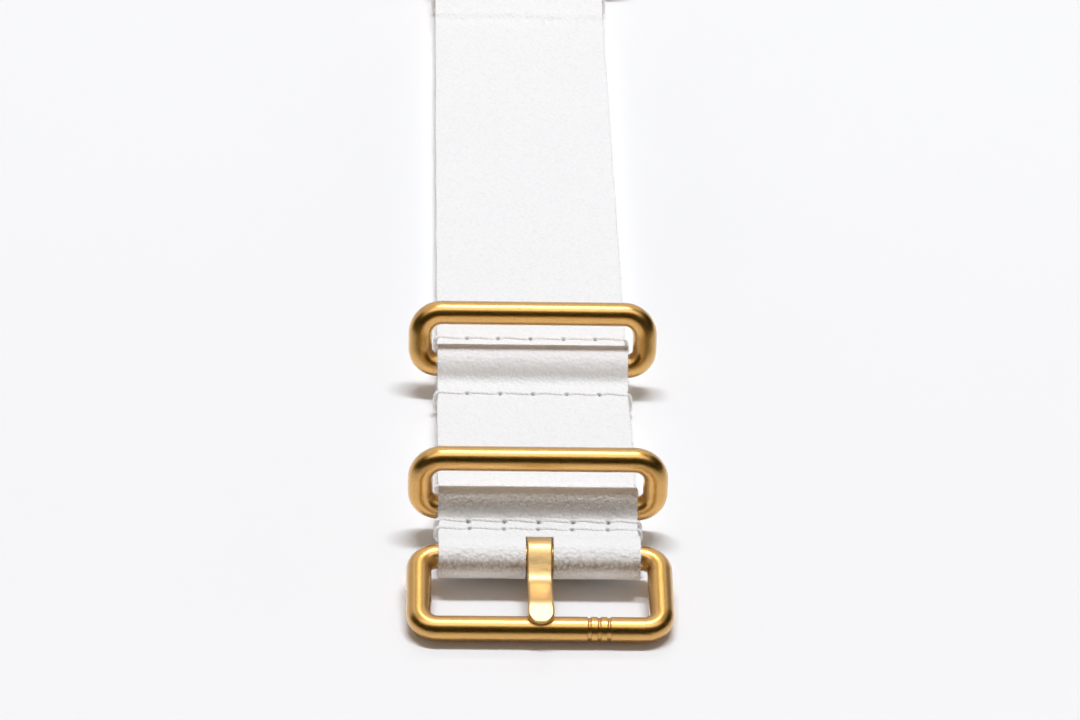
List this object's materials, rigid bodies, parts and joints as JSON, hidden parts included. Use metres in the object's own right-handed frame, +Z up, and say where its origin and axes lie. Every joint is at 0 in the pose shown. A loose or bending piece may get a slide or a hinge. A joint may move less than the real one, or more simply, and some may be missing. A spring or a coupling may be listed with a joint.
{
  "type": "strap buckle with keeper rings",
  "caption": "Buckle end of a white leather pass-through strap: round-wire brass buckle with a hinged tang and wire keeper rings sewn into the folded leather.",
  "frame": {"origin": "middle of the part's footprint, on the surface that the strap lies on", "axes": "+X across the strap, +Y along it from the buckle to the far end, +Z up out of the strap's outer side"},
  "size_m": [0.0264, 0.1294, 0.0099],
  "materials": {
    "brass": "satin",
    "leather": "fine pebbled grain",
    "lining": "smooth matt",
    "thread": "waxed thread"
  },
  "bodies": {
    "strap": {"strap_leather": "leather", "lining_leather": "lining", "buckle_seam_front": "thread", "buckle_seam_back": "thread", "front_keeper_seam": "thread", "middle_seam_front": "thread", "middle_seam_back": "thread", "end_seam_front": "thread", "end_seam_back": "thread"},
    "buckle": {"buckle_frame": "brass"},
    "tang": {"buckle_tang": "brass"},
    "keeper_1": {"front_keeper": "brass"},
    "keeper_2": {"middle_keeper": "brass"},
    "keeper_3": {"end_keeper": "brass"}
  },
  "joints": [
    {"name": "buckle_swing", "type": "hinge", "parent": "strap", "child": "buckle", "pos_m": [0, -0.05438, 0.00307], "axis": [-1, 0, 0], "range_deg": [0, 60]},
    {"name": "tang_swing", "type": "hinge", "parent": "buckle", "child": "tang", "pos_m": [0, -0.05438, 0.00307], "axis": [-1, 0, 0], "range_deg": [0, 66]},
    {"name": "front_keeper_tilt", "type": "hinge", "parent": "strap", "child": "keeper_1", "pos_m": [0, -0.04619, 0.00307], "axis": [-1, 0, 0], "range_deg": [-25, 70]},
    {"name": "middle_keeper_tilt", "type": "hinge", "parent": "strap", "child": "keeper_2", "pos_m": [0, -0.02134, 0.00307], "axis": [-1, 0, 0], "range_deg": [-90, 56]},
    {"name": "end_keeper_tilt", "type": "hinge", "parent": "strap", "child": "keeper_3", "pos_m": [0, 0.06166, 0.00307], "axis": [-1, 0, 0], "range_deg": [-90, 88]}
  ]
}
